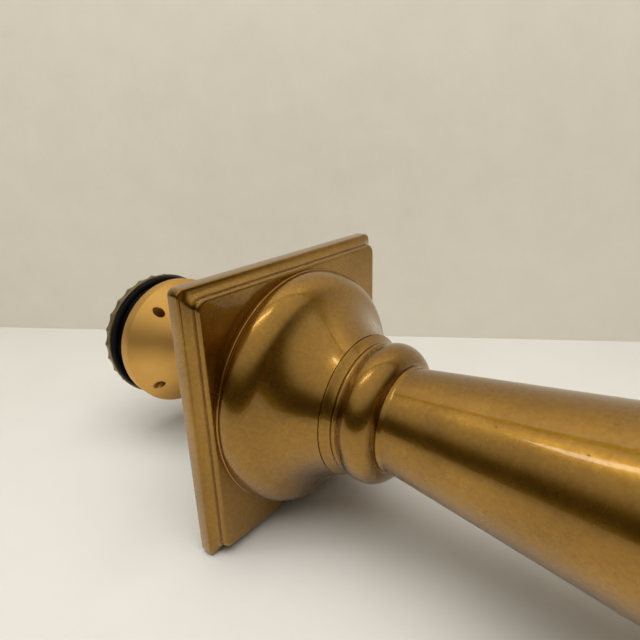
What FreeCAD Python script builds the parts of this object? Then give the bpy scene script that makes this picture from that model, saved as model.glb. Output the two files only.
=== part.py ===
import FreeCAD, Part
import math
import os
import Sketcher

# Brass deck bollard: a moulded square base, a bell, beads, a flared column and a mushroom head,
# with a conical clamp nut, a threaded barrel and a scalloped lock ring on the stem under the deck.
# The origin is where the post's axis meets the plate's underside. +Z runs up the post. Millimetres.

os.makedirs("parts", exist_ok=True)
doc = FreeCAD.newDocument("DeckBollard")
ORIGIN = FreeCAD.Vector(0, 0, 0)
UP = FreeCAD.Vector(0, 0, 1)

# ---------------------------------------------------------------- driving dimensions
SIZES = {
    "plate_half": 80.0,
    "plate_side": 7.8,
    "plate_corner": 4.0,
    "panel_half": 74.6,
    "panel_field": 73.2,
    "panel_top": 15.2,
    "gasket_inner": 40.0,
    "gasket_outer": 60.0,
    "gasket_thick": 2.0,
    "bell_foot": 72.4,
    "bell_wall": 5.0,
    "bell_inflection": 62.2,
    "bell_inflection_height": 33.0,
    "bell_neck": 41.3,
    "bell_top": 58.2,
    "bell_shoulder_radius": 16.4,
    "bell_sweep_radius": 36.8,
    "bead_split": 63.2,
    "band_radius": 20.0,
    "bead_radius": 1.62,
    "torus_bottom": 66.4,
    "torus_middle": 74.0,
    "torus_radius": 12.0,
    "torus_centre": 27.7,
    "column_bottom": 85.6,
    "column_foot": 29.0,
    "column_top": 268.0,
    "column_mouth": 51.5,
    "column_wall": 4.0,
    "disc_thick": 8.0,
    "spool_radius": 23.0,
    "rod_radius": 8.0,
    "rod_hole": 8.2,
    "stem_radius": 15.0,
    "stem_end": 134.0,
    "groove_low": 5.8,
    "groove_high": 7.4,
    "clip_reach": 2.6,
    "flange_radius": 30.0,
    "flange_bottom": 9.0,
    "head_ring_top": 277.0,
    "head_rim": 88.0,
    "head_rim_bottom": 299.0,
    "head_rim_top": 307.0,
    "cap_seat": 62.0,
    "cap_seat_height": 300.0,
    "crown_radius": 80.0,
    "crown_top": 328.0,
    "finial_radius": 13.0,
    "finial_top": 340.5,
    "finial_dome": 10.25,
    "washer_radius": 20.0,
    "washer_thick": 2.5,
    "nut_corner": 13.8,
    "nut_height": 13.0,
    "foot_circle": 66.5,
    "flange_circle": 22.5,
    "screw_radius": 3.0,
    "socket_radius": 2.6,
    "bell_screw_head": 5.4,
    "bell_screw_head_height": 3.5,
    "bell_head_bore": 5.5,
    "bell_head_depth": 4.0,
    "flange_screw_head": 5.0,
    "flange_screw_head_height": 6.0,
    "nut_rim": 46.4,
    "nut_crease": 47.2,
    "nut_crease_height": 108.5,
    "nut_land": 19.7,
    "nut_top": 83.0,
    "nut_bottom": 118.2,
    "thread_gap": 0.05,
    "spanner_height": 100.45,
    "spanner_radius": 3.25,
    "spanner_floor": 31.0,
    "tapped_radius": 3.0,
    "grub_length": 15.3,
    "slot_width": 1.0,
    "slot_depth": 1.5,
    "barrel_radius": 42.6,
    "barrel_bore": 36.0,
    "barrel_seat": 112.6,
    "barrel_flange": 116.6,
    "barrel_end": 141.5,
    "barrel_flange_hole": 22.0,
    "barrel_circle": 30.0,
    "barrel_screw_radius": 2.5,
    "barrel_screw_head": 4.4,
    "barrel_screw_head_height": 4.0,
    "barrel_screw_length": 11.0,
    "barrel_socket_radius": 2.2,
    "rubber_radius": 45.8,
    "rubber_top": 129.0,
    "ring_top": 132.0,
    "ring_rim": 47.2,
    "ring_rim_thick": 1.6,
    "ring_crest": 47.0,
    "ring_bottom": 139.5,
    "scallop_radius": 5.0,
    "scallop_depth": 1.6,
}
SCALLOPS = 26
FIRST_SCALLOP_ANGLE = 0.4
SPANNER_HOLES = 4
FIRST_HOLE_ANGLE = 36.3

sheet = doc.addObject("Spreadsheet::Sheet", "Sizes")
for row, (alias, size) in enumerate(SIZES.items(), start=1):
    sheet.set("A%d" % row, alias)
    sheet.set("B%d" % row, str(size))
    sheet.setAlias("B%d" % row, alias)
doc.recompute()


def value(formula):
    """Sum of sheet names and numbers, such as 'bell_top - 6', as a number."""
    total = 0.0
    sign = 1.0
    for word in formula.split():
        if word in "+-":
            sign = 1.0 if word == "+" else -1.0
        else:
            total += sign * (SIZES[word] if word in SIZES else float(word))
            sign = 1.0
    return total


def expression(formula):
    """The same sum, as an expression on the sheet."""
    words = []
    for word in formula.split():
        words.append("Sizes." + word if word in SIZES else word)
    text = " ".join(words)
    return "0 " + text if text.startswith("-") else text


# ---------------------------------------------------------------- sketch and feature helpers
def origin_plane(body, role):
    for feature in body.Origin.OriginFeatures:
        if feature.Role == role:
            return feature
    raise ValueError(role)


def new_body(label):
    body = doc.addObject("PartDesign::Body", label)
    body.Label = label
    return body


def new_sketch(body, name, role="XZ_Plane"):
    sketch = body.newObject("Sketcher::SketchObject", body.Label + "_" + name)
    sketch.AttachmentSupport = [(origin_plane(body, role), "")]
    sketch.MapMode = "FlatFace"
    return sketch


def bind(sketch, constraint, formula):
    """Add a size constraint to a sketch and drive it from the sheet."""
    index = sketch.addConstraint(constraint)
    sketch.setExpression("Constraints[%d]" % index, expression(formula))


def arc_between(start, end, radius):
    """Arc of a signed radius from start to end. A positive radius turns to the left."""
    chord = end - start
    half = chord.Length / 2
    reach = math.sqrt(max(radius * radius - half * half, 0.0))
    left = FreeCAD.Vector(-chord.y, chord.x, 0).normalize()
    centre = (start + end) * 0.5 + left * (reach if radius > 0 else -reach)
    first, last = (start, end) if radius > 0 else (end, start)
    angles = [math.atan2(point.y - centre.y, point.x - centre.x) for point in (first, last)]
    circle = Part.Circle(centre, UP, abs(radius))
    return Part.ArcOfCircle(circle, angles[0], angles[1])


def outline(sketch, points):
    """Closed outline from (across, up) formulas. A third item is the signed arc radius to the next."""
    places = [FreeCAD.Vector(value(point[0]), value(point[1]), 0) for point in points]
    starts = []
    for index, point in enumerate(points):
        start = places[index]
        end = places[(index + 1) % len(points)]
        if len(point) < 3:
            edge = sketch.addGeometry(Part.LineSegment(start, end), False)
            starts.append((edge, 1, 2))
            continue
        radius = point[2]
        negative = radius.startswith("- ")
        size = value(radius[2:] if negative else radius)
        edge = sketch.addGeometry(arc_between(start, end, -size if negative else size), False)
        starts.append((edge, 2, 1) if negative else (edge, 1, 2))
    for index in range(len(points)):
        edge, _, finish = starts[index]
        following, begin, _ = starts[(index + 1) % len(points)]
        sketch.addConstraint(Sketcher.Constraint("Coincident", edge, finish, following, begin))
    for index, point in enumerate(points):
        edge, begin, _ = starts[index]
        across, height = places[index].x, places[index].y
        if abs(across) < 1e-9:
            sketch.addConstraint(Sketcher.Constraint("PointOnObject", edge, begin, -2))
        else:
            bind(sketch, Sketcher.Constraint("DistanceX", -1, 1, edge, begin, across), point[0])
        if abs(height) < 1e-9:
            sketch.addConstraint(Sketcher.Constraint("PointOnObject", edge, begin, -1))
        else:
            bind(sketch, Sketcher.Constraint("DistanceY", -1, 1, edge, begin, height), point[1])
        if len(point) == 3:
            radius = point[2][2:] if point[2].startswith("- ") else point[2]
            bind(sketch, Sketcher.Constraint("Radius", edge, value(radius)), radius)


def turned(label, points):
    """A body turned about the post's axis from a half section."""
    body = new_body(label)
    sketch = new_sketch(body, "section")
    outline(sketch, points)
    turning = body.newObject("PartDesign::Revolution", label + "_turning")
    turning.Profile = sketch
    turning.ReferenceAxis = (sketch, ["V_Axis"])
    turning.Angle = 360
    doc.recompute()
    return body


def circle_sketch(body, name, places, radius, role="XY_Plane", height=0.0):
    """Circles of one radius on a plane, at a height along the plane's normal."""
    sketch = new_sketch(body, name, role)
    sketch.AttachmentOffset = FreeCAD.Placement(FreeCAD.Vector(0, 0, height), FreeCAD.Rotation())
    for across, up in places:
        circle = sketch.addGeometry(Part.Circle(FreeCAD.Vector(across, up, 0), UP, value(radius)), False)
        bind(sketch, Sketcher.Constraint("Radius", circle, value(radius)), radius)
        for kind, place in (("DistanceX", across), ("DistanceY", up)):
            axis = -2 if kind == "DistanceX" else -1
            if abs(place) < 1e-9:
                sketch.addConstraint(Sketcher.Constraint("PointOnObject", circle, 3, axis))
            else:
                sketch.addConstraint(Sketcher.Constraint(kind, -1, 1, circle, 3, place))
    return sketch


def cut(body, sketch, name, depth=None, reverse=False):
    """Pocket a sketch, through everything unless a depth is given, and check that it cut."""
    before = body.Shape.Volume
    pocket = body.newObject("PartDesign::Pocket", body.Label + "_" + name)
    pocket.Profile = sketch
    if depth is None:
        pocket.Type = "ThroughAll"
    else:
        pocket.setExpression("Length", expression(depth))
    pocket.Reversed = reverse
    doc.recompute()
    if body.Shape.Volume >= before - 1e-6:
        raise RuntimeError(body.Label + " " + name + " cut nothing")
    return pocket


def pattern(body, features, count, name):
    """Repeat features round the post's axis."""
    polar = body.newObject("PartDesign::PolarPattern", body.Label + "_" + name)
    polar.Originals = features
    polar.Axis = (origin_plane(body, "Z_Axis"), [""])
    polar.Angle = 360
    polar.Occurrences = count
    body.Tip = polar
    doc.recompute()
    return polar


def ring_places(radius, count, first_angle):
    """Points on a circle, for holes and fasteners."""
    places = []
    for index in range(count):
        angle = math.radians(first_angle + 360.0 * index / count)
        places.append((radius * math.cos(angle), radius * math.sin(angle)))
    return places


def cylinder(label, radius, height, base, direction=UP):
    """A Part cylinder whose radius and height are formulas, standing on a point."""
    piece = doc.addObject("Part::Cylinder", label)
    piece.setExpression("Radius", expression(radius))
    piece.setExpression("Height", expression(height))
    piece.Placement = FreeCAD.Placement(base, FreeCAD.Rotation(UP, direction))
    return piece


def hexagon(label, corner_radius, height, base):
    """A hexagonal prism, for nuts and for the sockets in screw heads."""
    piece = doc.addObject("Part::Prism", label)
    piece.Polygon = 6
    piece.setExpression("Circumradius", expression(corner_radius))
    piece.setExpression("Height", expression(height))
    piece.Placement = FreeCAD.Placement(base, FreeCAD.Rotation())
    return piece


def fused(label, pieces):
    joined = doc.addObject("Part::MultiFuse", label)
    joined.Shapes = pieces
    return joined


def difference(label, base, tool):
    made = doc.addObject("Part::Cut", label)
    made.Base = base
    made.Tool = tool
    return made


def gathered(label, pieces):
    """Identical fasteners as separate solids of one node."""
    group = doc.addObject("Part::Compound", label)
    group.Links = pieces
    group.Label = label
    return group


nodes = []

# ---------------------------------------------------------------- base plate
DOWEL_ANGLE = 0.0
SCREW_ANGLE = 45.0

plate = new_body("base_plate")
square = new_sketch(plate, "square", "XY_Plane")
outline(square, [
    ("plate_half", "- plate_half"),
    ("plate_half", "plate_half"),
    ("- plate_half", "plate_half"),
    ("- plate_half", "- plate_half"),
])
slab = plate.newObject("PartDesign::Pad", "base_plate_slab")
slab.Profile = square
slab.setExpression("Length", "Sizes.panel_top")
doc.recompute()
upright_edges = []
for number, edge in enumerate(slab.Shape.Edges, start=1):
    ends = [vertex.Point for vertex in edge.Vertexes]
    if abs(ends[0].z - ends[-1].z) > 1.0:
        upright_edges.append("Edge%d" % number)
corners = plate.newObject("PartDesign::Fillet", "base_plate_corners")
corners.Base = (slab, upright_edges)
corners.setExpression("Radius", "Sizes.plate_corner")
doc.recompute()

# The moulding is cut away along one side and repeated on the other three, which mitres its corners.
moulding = new_sketch(plate, "moulding")
outline(moulding, [
    ("plate_half", "plate_side - 1", "1"),
    ("plate_half - 1", "plate_side", "- 6"),
    ("panel_half + 0.4", "panel_top - 4"),
    ("panel_half", "panel_top - 4"),
    ("panel_half", "panel_top - 2", "1.8"),
    ("panel_field", "panel_top"),
    ("panel_field", "panel_top + 3"),
    ("plate_half + 3", "panel_top + 3"),
    ("plate_half + 3", "plate_side - 1"),
])
rim_cut = plate.newObject("PartDesign::Pocket", "base_plate_rim")
rim_cut.Profile = moulding
rim_cut.Type = "ThroughAll"
rim_cut.Midplane = True
doc.recompute()
pattern(plate, [rim_cut], 4, "rims")

stem_hole = circle_sketch(plate, "stem_hole", [(0, 0)], "stem_radius + 0.3")
cut(plate, stem_hole, "stem_bore", reverse=True)
flange_seat = circle_sketch(plate, "flange_seat", [(0, 0)], "flange_radius + 0.1", height=SIZES["panel_top"])
cut(plate, flange_seat, "flange_recess", "panel_top - flange_bottom")
gasket_seat = circle_sketch(plate, "gasket_seat", [(0, 0)], "gasket_outer")
inner_edge = gasket_seat.addGeometry(Part.Circle(ORIGIN, UP, SIZES["gasket_inner"]), False)
bind(gasket_seat, Sketcher.Constraint("Radius", inner_edge, SIZES["gasket_inner"]), "gasket_inner")
gasket_seat.addConstraint(Sketcher.Constraint("Coincident", inner_edge, 3, -1, 1))
cut(plate, gasket_seat, "gasket_recess", "gasket_thick", reverse=True)
bell_screw_places = ring_places(SIZES["foot_circle"], 4, SCREW_ANGLE)
dowel_places = ring_places(SIZES["foot_circle"], 2, DOWEL_ANGLE)
flange_screw_places = ring_places(SIZES["flange_circle"], 4, SCREW_ANGLE)
screw_holes = circle_sketch(plate, "screw_holes", bell_screw_places + dowel_places, "screw_radius")
cut(plate, screw_holes, "screw_bores", reverse=True)
head_holes = circle_sketch(plate, "head_holes", bell_screw_places, "bell_head_bore")
cut(plate, head_holes, "head_bores", "bell_head_depth", reverse=True)
tapped_holes = circle_sketch(plate, "tapped_holes", flange_screw_places, "screw_radius")
cut(plate, tapped_holes, "tapped_bores", "flange_bottom", reverse=True)
nodes.append(plate)

# ---------------------------------------------------------------- seal, bell and neck rings
nodes.append(turned("deck_gasket", [
    ("gasket_inner", "0"),
    ("gasket_outer", "0"),
    ("gasket_outer", "gasket_thick"),
    ("gasket_inner", "gasket_thick"),
]))

bell = turned("bell", [
    ("bell_inflection - 2", "panel_top"),
    ("bell_foot", "panel_top"),
    ("bell_foot", "panel_top + 0.8", "0.8"),
    ("bell_foot - 0.8", "panel_top + 1.6"),
    ("bell_foot - 1.5", "panel_top + 1.6"),
    ("bell_foot - 1.5", "panel_top + 2.2"),
    ("bell_foot - 0.5", "panel_top + 2.8", "bell_shoulder_radius"),
    ("bell_inflection", "bell_inflection_height", "- bell_sweep_radius"),
    ("bell_neck", "bell_top"),
    ("rod_hole", "bell_top"),
    ("rod_hole", "bell_top - 6"),
    ("bell_neck - bell_wall - 1", "bell_top - 6", "bell_sweep_radius"),
    ("bell_inflection - 6.5", "bell_inflection_height - 3.5"),
    ("bell_inflection - 2", "panel_top + 6"),
])
FOOT_HOLE_DEPTH = "8"
foot_bores = circle_sketch(bell, "foot_bores", bell_screw_places + dowel_places, "screw_radius",
                           height=SIZES["panel_top"])
cut(bell, foot_bores, "foot_holes", FOOT_HOLE_DEPTH, reverse=True)
nodes.append(bell)

nodes.append(turned("lower_bead", [
    ("spool_radius", "bell_top"),
    ("bell_neck - 0.8", "bell_top"),
    ("bell_neck - 0.8", "bell_top + 0.2"),
    ("bell_neck - 0.4", "bell_top + 0.2"),
    ("bell_neck - 0.4", "bell_top + 0.7", "- band_radius"),
    ("bell_neck - 3.85", "bead_split - 0.1"),
    ("bell_neck - 3.85", "bead_split"),
    ("spool_radius", "bead_split"),
]))
nodes.append(turned("upper_bead", [
    ("spool_radius", "bead_split"),
    ("bell_neck - 4.3", "bead_split"),
    ("bell_neck - 4.3", "bead_split + 0.2", "bead_radius"),
    ("bell_neck - 4.3", "torus_bottom - 0.2"),
    ("bell_neck - 4.3", "torus_bottom"),
    ("spool_radius", "torus_bottom"),
]))
torus_foot = math.sqrt(SIZES["torus_radius"] ** 2 - (SIZES["torus_middle"] - SIZES["torus_bottom"]) ** 2)
torus_head = math.sqrt(SIZES["torus_radius"] ** 2 - (SIZES["column_bottom"] - SIZES["torus_middle"]) ** 2)
nodes.append(turned("torus_collar", [
    ("spool_radius", "torus_bottom"),
    ("torus_centre + %.4f" % torus_foot, "torus_bottom", "torus_radius"),
    ("torus_centre + %.4f" % torus_head, "column_bottom"),
    ("spool_radius", "column_bottom"),
]))
nodes.append(turned("neck_spool", [
    ("rod_hole", "bell_top"),
    ("spool_radius", "bell_top"),
    ("spool_radius", "column_bottom"),
    ("rod_hole", "column_bottom"),
]))

# ---------------------------------------------------------------- column
nodes.append(turned("column", [
    ("column_foot - column_wall", "column_bottom"),
    ("column_foot + 1", "column_bottom"),
    ("column_foot + 1", "column_bottom + 0.8", "- 4"),
    ("column_foot + 0.3", "column_bottom + 3"),
    ("column_mouth", "column_top - 2", "1.5"),
    ("column_mouth - 0.6", "column_top"),
    ("column_mouth - column_wall", "column_top"),
]))
nodes.append(turned("foot_disc", [
    ("rod_hole", "column_bottom"),
    ("column_foot - column_wall", "column_bottom"),
    ("column_foot - column_wall + 0.9", "column_bottom + disc_thick"),
    ("rod_hole", "column_bottom + disc_thick"),
]))
nodes.append(turned("top_disc", [
    ("rod_hole", "column_top - disc_thick"),
    ("column_mouth - column_wall - 1.1", "column_top - disc_thick"),
    ("column_mouth - column_wall - 0.1", "column_top"),
    ("rod_hole", "column_top"),
]))

# ---------------------------------------------------------------- mushroom head
nodes.append(turned("head_ring", [
    ("rod_hole", "column_top"),
    ("column_mouth - 1", "column_top"),
    ("column_mouth", "column_top + 1"),
    ("column_mouth", "column_top + 2", "3.4"),
    ("column_mouth", "head_ring_top - 2"),
    ("column_mouth - 1.5", "head_ring_top"),
    ("rod_hole", "head_ring_top"),
]))
nodes.append(turned("head", [
    ("rod_hole", "head_ring_top"),
    ("column_mouth - 3", "head_ring_top"),
    ("column_mouth - 2", "head_ring_top + 1", "- 40"),
    ("head_rim - 4", "head_rim_bottom - 1"),
    ("head_rim - 2", "head_rim_bottom", "5"),
    ("head_rim - 2", "head_rim_top"),
    ("crown_radius", "head_rim_top"),
    ("crown_radius", "head_rim_top - 2"),
    ("cap_seat", "head_rim_top - 2"),
    ("cap_seat", "cap_seat_height"),
    ("rod_hole", "cap_seat_height"),
]))
nodes.append(turned("crown_cap", [
    ("rod_hole", "crown_top - 5"),
    ("cap_seat - 18", "crown_top - 8"),
    ("cap_seat - 6", "crown_top - 13"),
    ("cap_seat - 6", "cap_seat_height"),
    ("cap_seat", "cap_seat_height"),
    ("cap_seat", "head_rim_top - 2"),
    ("crown_radius", "head_rim_top - 2"),
    ("crown_radius", "head_rim_top + 1", "150"),
    ("finial_radius", "crown_top"),
    ("rod_hole", "crown_top"),
]))
nodes.append(turned("finial", [
    ("0", "crown_top - 1.5"),
    ("rod_hole - 0.2", "crown_top - 1.5"),
    ("rod_hole - 0.2", "crown_top"),
    ("finial_radius", "crown_top"),
    ("finial_radius", "crown_top + 2"),
    ("finial_radius - 3", "crown_top + 3.5"),
    ("finial_radius - 3", "crown_top + 4.5", "finial_dome"),
    ("0", "finial_top"),
]))

# ---------------------------------------------------------------- stem through the whole post
nodes.append(turned("stem", [
    ("0", "- stem_end"),
    ("stem_radius - 1.5", "- stem_end"),
    ("stem_radius", "1.5 - stem_end"),
    ("stem_radius", "groove_low - stem_end"),
    ("stem_radius - 1", "groove_low - stem_end"),
    ("stem_radius - 1", "groove_high - stem_end"),
    ("stem_radius", "groove_high - stem_end"),
    ("stem_radius", "flange_bottom"),
    ("flange_radius", "flange_bottom"),
    ("flange_radius", "panel_top"),
    ("rod_radius + 3", "panel_top"),
    ("rod_radius", "panel_top + 3"),
    ("rod_radius", "crown_top - 2"),
    ("0", "crown_top - 2"),
]))
stem = nodes[-1]
flange_holes = circle_sketch(stem, "flange_holes", flange_screw_places, "screw_radius",
                             height=SIZES["panel_top"])
cut(stem, flange_holes, "flange_bores", "panel_top - flange_bottom")

nodes.append(turned("retaining_ring", [
    ("stem_radius - 1", "groove_low - stem_end + 0.1"),
    ("stem_radius + clip_reach", "groove_low - stem_end + 0.1"),
    ("stem_radius + clip_reach", "groove_high - stem_end - 0.1"),
    ("stem_radius - 1", "groove_high - stem_end - 0.1"),
]))

washer_base = FreeCAD.Vector(0, 0, SIZES["cap_seat_height"])
washer_disc = cylinder("top_washer_disc", "washer_radius", "washer_thick", washer_base)
washer_hole = cylinder("top_washer_hole", "rod_hole", "washer_thick", washer_base)
nodes.append(difference("top_washer", washer_disc, washer_hole))
nut_base = washer_base + UP * SIZES["washer_thick"]
nut_blank = hexagon("top_nut_blank", "nut_corner", "nut_height", nut_base)
nut_hole = cylinder("top_nut_hole", "rod_radius", "nut_height", nut_base)
nodes.append(difference("top_nut", nut_blank, nut_hole))

# ---------------------------------------------------------------- fasteners of the base


def socket_screw(name, radius, length, head, height, socket, seat, drive=UP):
    """Hexagon socket screw. Its head stands on the seat towards the drive, its shank goes the other way."""
    depth = SIZES[height] / 2
    shank = cylinder(name + "_shank", radius, length, seat, -drive)
    top = cylinder(name + "_head", head, height, seat, drive)
    solid = fused(name + "_solid", [shank, top])
    floor = seat + drive * (SIZES[height] - depth) if drive.z > 0 else seat + drive * SIZES[height]
    hollow = hexagon(name + "_socket", socket, str(depth), floor)
    return difference(name, solid, hollow)


flange_screws = []
for number, (across, along) in enumerate(flange_screw_places, start=1):
    seat = FreeCAD.Vector(across, along, SIZES["panel_top"])
    flange_screws.append(socket_screw("flange_screw%d" % number, "screw_radius",
                                      "panel_top - gasket_thick - 1", "flange_screw_head",
                                      "flange_screw_head_height", "socket_radius", seat))
nodes.append(gathered("flange_screws", flange_screws))

BELL_SCREW_FACE = 0.5
bell_screws = []
for number, (across, along) in enumerate(bell_screw_places, start=1):
    seat = FreeCAD.Vector(across, along, BELL_SCREW_FACE + SIZES["bell_screw_head_height"])
    bell_screws.append(socket_screw("bell_screw%d" % number, "screw_radius", "panel_top + 2.5",
                                    "bell_screw_head", "bell_screw_head_height", "socket_radius",
                                    seat, -UP))
nodes.append(gathered("bell_screws", bell_screws))

dowels = []
for number, (across, along) in enumerate(dowel_places, start=1):
    foot = FreeCAD.Vector(across, along, SIZES["gasket_thick"])
    dowels.append(cylinder("dowel%d" % number, "screw_radius", "panel_top + 4", foot))
nodes.append(gathered("dowels", dowels))

# ---------------------------------------------------------------- clamp nut under the deck
cone = turned("clamp_cone", [
    ("stem_radius + thread_gap", "- barrel_seat"),
    ("barrel_radius", "- barrel_seat"),
    ("barrel_radius", "- nut_bottom"),
    ("nut_rim - 0.4", "- nut_bottom"),
    ("nut_rim", "0.4 - nut_bottom"),
    ("nut_crease", "- nut_crease_height"),
    ("nut_land", "- nut_top"),
    ("stem_radius + thread_gap", "- nut_top"),
])


def radial_hole(body, name, radius, start, reach):
    """A round hole along the first hole's direction, from a distance off the axis outwards."""
    drill = body.newObject("PartDesign::SubtractiveCylinder", body.Label + "_" + name)
    drill.setExpression("Radius", expression(radius))
    drill.setExpression("Height", expression(reach))
    outward = FreeCAD.Rotation(UP, FIRST_HOLE_ANGLE).multVec(FreeCAD.Vector(1, 0, 0))
    base = outward * value(start) - UP * SIZES["spanner_height"]
    drill.Placement = FreeCAD.Placement(base, FreeCAD.Rotation(UP, outward))
    body.Tip = drill
    doc.recompute()
    return drill


# Each spanner hole is a wide pin hole that ends at a floor, and a narrower tapped hole goes on from
# there to the stem for the locking screw.
pin_hole = radial_hole(cone, "pin_hole", "spanner_radius", "spanner_floor", "nut_rim")
pattern(cone, [pin_hole], SPANNER_HOLES, "pin_holes")
tapped_hole = radial_hole(cone, "tapped_hole", "tapped_radius", "stem_radius - 1", "spanner_floor - 10")
pattern(cone, [tapped_hole], SPANNER_HOLES, "tapped_holes")
TAPPED_DEPTH = "8"
barrel_screw_places = ring_places(SIZES["barrel_circle"], 4, SCREW_ANGLE)
screw_bores = circle_sketch(cone, "screw_bores", barrel_screw_places, "barrel_screw_radius",
                            height=-SIZES["barrel_seat"])
cut(cone, screw_bores, "barrel_screw_holes", TAPPED_DEPTH, reverse=True)
nodes.append(cone)

# Slotted screws deep in the spanner holes lock the nut to the stem's thread.
grub_start = value("stem_radius + 0.3")
grub_screws = []
for number in range(1, SPANNER_HOLES + 1):
    name = "grub_screw%d" % number
    turn = FreeCAD.Rotation(UP, FIRST_HOLE_ANGLE + 360.0 * (number - 1) / SPANNER_HOLES)
    outward = turn.multVec(FreeCAD.Vector(1, 0, 0))
    start = outward * grub_start - UP * SIZES["spanner_height"]
    solid = cylinder(name + "_body", "tapped_radius - thread_gap", "grub_length", start, outward)
    slot = doc.addObject("Part::Box", name + "_slot")
    slot.setExpression("Length", "Sizes.slot_depth")
    slot.setExpression("Width", "Sizes.slot_width")
    slot.setExpression("Height", "2 * Sizes.tapped_radius")
    corner = FreeCAD.Vector(grub_start + value("grub_length - slot_depth"), -SIZES["slot_width"] / 2,
                            -value("tapped_radius + spanner_height"))
    slot.Placement = FreeCAD.Placement(turn.multVec(corner), turn)
    grub_screws.append(difference(name, solid, slot))
nodes.append(gathered("grub_screws", grub_screws))

nodes.append(turned("thrust_washer", [
    ("stem_radius + thread_gap", "0.02 - nut_top"),
    ("nut_land", "0.02 - nut_top"),
    ("nut_land", "2 - nut_top"),
    ("stem_radius + thread_gap", "2 - nut_top"),
]))

# ---------------------------------------------------------------- barrel, rubber and lock ring
barrel = turned("barrel", [
    ("barrel_flange_hole", "- barrel_seat"),
    ("barrel_radius", "- barrel_seat"),
    ("barrel_radius", "1 - barrel_end"),
    ("barrel_radius - 1", "- barrel_end"),
    ("barrel_bore", "- barrel_end"),
    ("barrel_bore", "- barrel_flange"),
    ("barrel_flange_hole", "- barrel_flange"),
])
flange_bores = circle_sketch(barrel, "flange_bores", barrel_screw_places, "barrel_screw_radius",
                             height=-SIZES["barrel_flange"])
cut(barrel, flange_bores, "screw_holes", reverse=True)
nodes.append(barrel)

barrel_screws = []
for number, (across, along) in enumerate(barrel_screw_places, start=1):
    seat = FreeCAD.Vector(across, along, -SIZES["barrel_flange"])
    barrel_screws.append(socket_screw("barrel_screw%d" % number, "barrel_screw_radius",
                                      "barrel_screw_length", "barrel_screw_head",
                                      "barrel_screw_head_height", "barrel_socket_radius", seat, -UP))
nodes.append(gathered("barrel_screws", barrel_screws))

nodes.append(turned("rubber_ring", [
    ("barrel_radius + 0.3", "0.05 - ring_top"),
    ("rubber_radius", "0.05 - ring_top"),
    ("rubber_radius", "- rubber_top - 0.5"),
    ("rubber_radius - 0.5", "- rubber_top"),
    ("barrel_radius + 0.3", "- rubber_top"),
]))

lock_ring = turned("lock_ring", [
    ("barrel_radius + thread_gap", "- ring_bottom"),
    ("ring_crest - 0.5", "- ring_bottom"),
    ("ring_crest", "0.5 - ring_bottom"),
    ("ring_crest", "- ring_top - ring_rim_thick"),
    ("ring_rim", "- ring_top - ring_rim_thick"),
    ("ring_rim", "- ring_top - 0.3"),
    ("ring_rim - 0.3", "- ring_top"),
    ("barrel_radius + thread_gap", "- ring_top"),
])
scallop_reach = value("ring_crest + scallop_radius - scallop_depth")
scallop_places = ring_places(scallop_reach, 1, FIRST_SCALLOP_ANGLE)
scallop = circle_sketch(lock_ring, "scallop", scallop_places, "scallop_radius", height=-SIZES["ring_bottom"])
scallop_cut = cut(lock_ring, scallop, "scallop_cut", "ring_bottom - ring_top - ring_rim_thick",
                  reverse=True)
pattern(lock_ring, [scallop_cut], SCALLOPS, "scallops")
nodes.append(lock_ring)

# ---------------------------------------------------------------- check and write
doc.recompute()
for feature in doc.Objects:
    if "Invalid" in feature.State or "Error" in feature.State:
        raise RuntimeError("failed feature: " + feature.Label)
for node in nodes:
    if node.Shape.isNull() or not node.Shape.isValid():
        raise RuntimeError("bad shape: " + node.Label)
for node in nodes:
    node.Shape.exportStep("parts/%s.step" % node.Label)
    print("%-16s %9.1f mm3  %d solid(s)" % (node.Label, node.Shape.Volume, len(node.Shape.Solids)))
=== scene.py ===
# %% [markdown]
# # A brass deck bollard
# The metalwork is already designed: every part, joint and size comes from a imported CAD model.
# This lesson gives that model its looks in Blender. It turns the brass mouldings again with
# softened edges, cuts real threads and scallops, and mixes a finish for each metal.
# Lengths are metres in the scene. Outlines are written in millimetres, as a turner would.

# %% Load the frame
import math
import bmesh
import bpy
from mathutils import Matrix, Vector


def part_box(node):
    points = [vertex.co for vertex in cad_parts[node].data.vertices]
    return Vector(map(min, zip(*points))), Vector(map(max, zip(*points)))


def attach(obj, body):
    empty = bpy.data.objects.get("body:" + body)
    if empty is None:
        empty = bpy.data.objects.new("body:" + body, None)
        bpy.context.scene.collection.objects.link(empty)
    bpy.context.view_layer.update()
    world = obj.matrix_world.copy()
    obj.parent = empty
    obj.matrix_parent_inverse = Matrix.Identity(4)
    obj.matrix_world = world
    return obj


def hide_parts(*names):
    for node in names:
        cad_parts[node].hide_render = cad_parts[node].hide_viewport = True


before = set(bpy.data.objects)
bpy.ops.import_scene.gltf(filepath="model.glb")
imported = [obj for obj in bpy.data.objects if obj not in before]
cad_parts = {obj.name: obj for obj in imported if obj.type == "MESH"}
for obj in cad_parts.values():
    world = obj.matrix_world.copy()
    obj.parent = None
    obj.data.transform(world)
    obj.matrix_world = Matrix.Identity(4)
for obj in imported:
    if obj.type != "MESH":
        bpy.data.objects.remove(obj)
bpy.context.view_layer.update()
MM = 0.001
print("nodes:", len(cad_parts))

# %% [markdown]
# ## The camera
# The post lies on its side, so its long axis +Z runs across the room and the room's "up" is close
# to the post's +Y. A camera could be given three rotation angles, but those are hard to read.
# A place, a point to look at and a direction for up say the same thing in plain terms, and
# Blender turns them into a rotation matrix.

# %% Place the camera
ROOM_UP = Vector((0.0, 0.9992, 0.04)).normalized()
camera_place = Vector((-0.2154, 0.1500, 0.2082))
camera_aim = Vector((0.0218, 0.0348, 0.0099))
FOCAL_MM = 29.2
SENSOR_MM = 36.0


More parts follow.
